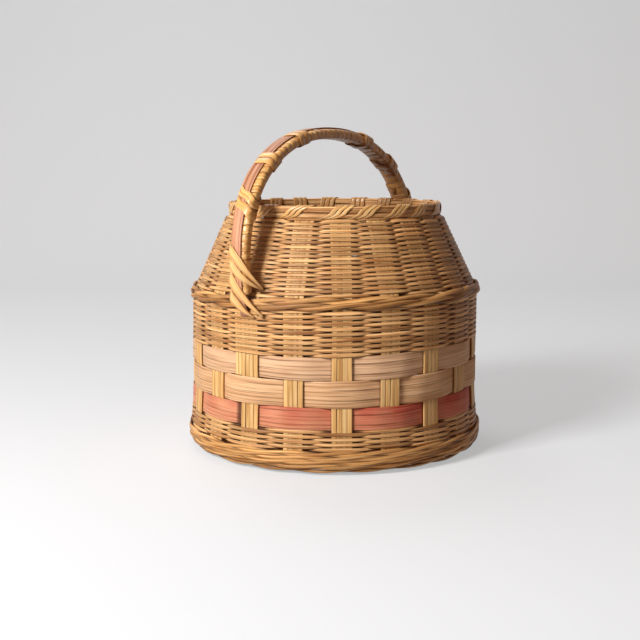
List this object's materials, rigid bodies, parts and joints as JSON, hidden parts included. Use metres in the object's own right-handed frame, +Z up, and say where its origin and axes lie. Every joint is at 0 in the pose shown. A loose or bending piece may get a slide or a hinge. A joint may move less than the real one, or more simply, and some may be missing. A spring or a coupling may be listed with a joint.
{
  "type": "wicker fishing creel",
  "caption": "Round open-topped creel of split bamboo with a flared foot, wide woven bands, a ridge, a sloping shoulder, a bound rim and a rigid lashed hoop handle.",
  "frame": {"origin": "centre of the flat underside, where the axis of the round body meets the floor", "axes": "+Z up, out of the mouth; X along the hoop handle's plane, through its two feet; Y across the handle's plane"},
  "size_m": [0.301, 0.289, 0.3061],
  "materials": {
    "rib": "split bamboo, straw yellow, satin, aged",
    "weaver": "thin round-backed bamboo strip, honey gold, satin, dark where it dives",
    "lower_band": "wide bamboo strip stained salmon pink to red, faded",
    "middle_band": "wide bamboo strip, beige tan, faded and spotted",
    "upper_band": "wide bamboo strip, greyish mauve tan, faded",
    "twine": "thick twined bamboo strands, honey gold, worn",
    "hoop": "bent bamboo strip, tan, satin",
    "rim_strip": "flat bamboo strip on the rim, honey gold",
    "wrap": "flat bamboo binding strip, pale tan, satin",
    "base": "plain bamboo strip, tan, matt",
    "handle_core": "bamboo core of the hoop, brown, matt",
    "leader": "flat bamboo strip, pinkish brown, satin",
    "lashing": "flat bamboo lashing strip, pale straw, satin"
  },
  "bodies": {
    "root": {"rib_01": "rib", "rib_02": "rib", "rib_03": "rib", "rib_04": "rib", "rib_05": "rib", "rib_06": "rib", "rib_07": "rib", "rib_08": "rib", "rib_09": "rib", "rib_10": "rib", "rib_11": "rib", "rib_12": "rib", "rib_13": "rib", "rib_14": "rib", "rib_15": "rib", "rib_16": "rib", "rib_17": "rib", "rib_18": "rib", "rib_19": "rib", "rib_20": "rib", "foot_twine": "twine", "foot_weave": "weaver", "lower_band": "lower_band", "middle_band": "middle_band", "upper_band": "upper_band", "middle_weave": "weaver", "ridge_twine": "twine", "shoulder_weave": "weaver", "rim_outer_hoop": "hoop", "rim_inner_hoop": "hoop", "rim_top_strip": "rim_strip", "rim_wraps": "wrap", "base_mat_lower": "base", "base_mat_upper": "base", "base_weave": "base", "handle_core": "handle_core", "handle_leader": "leader", "handle_wraps": "wrap", "handle_straps": "wrap", "handle_tail_left": "handle_core", "handle_tail_right": "handle_core", "lashing_left": "lashing", "lashing_right": "lashing"}
  },
  "joints": []
}
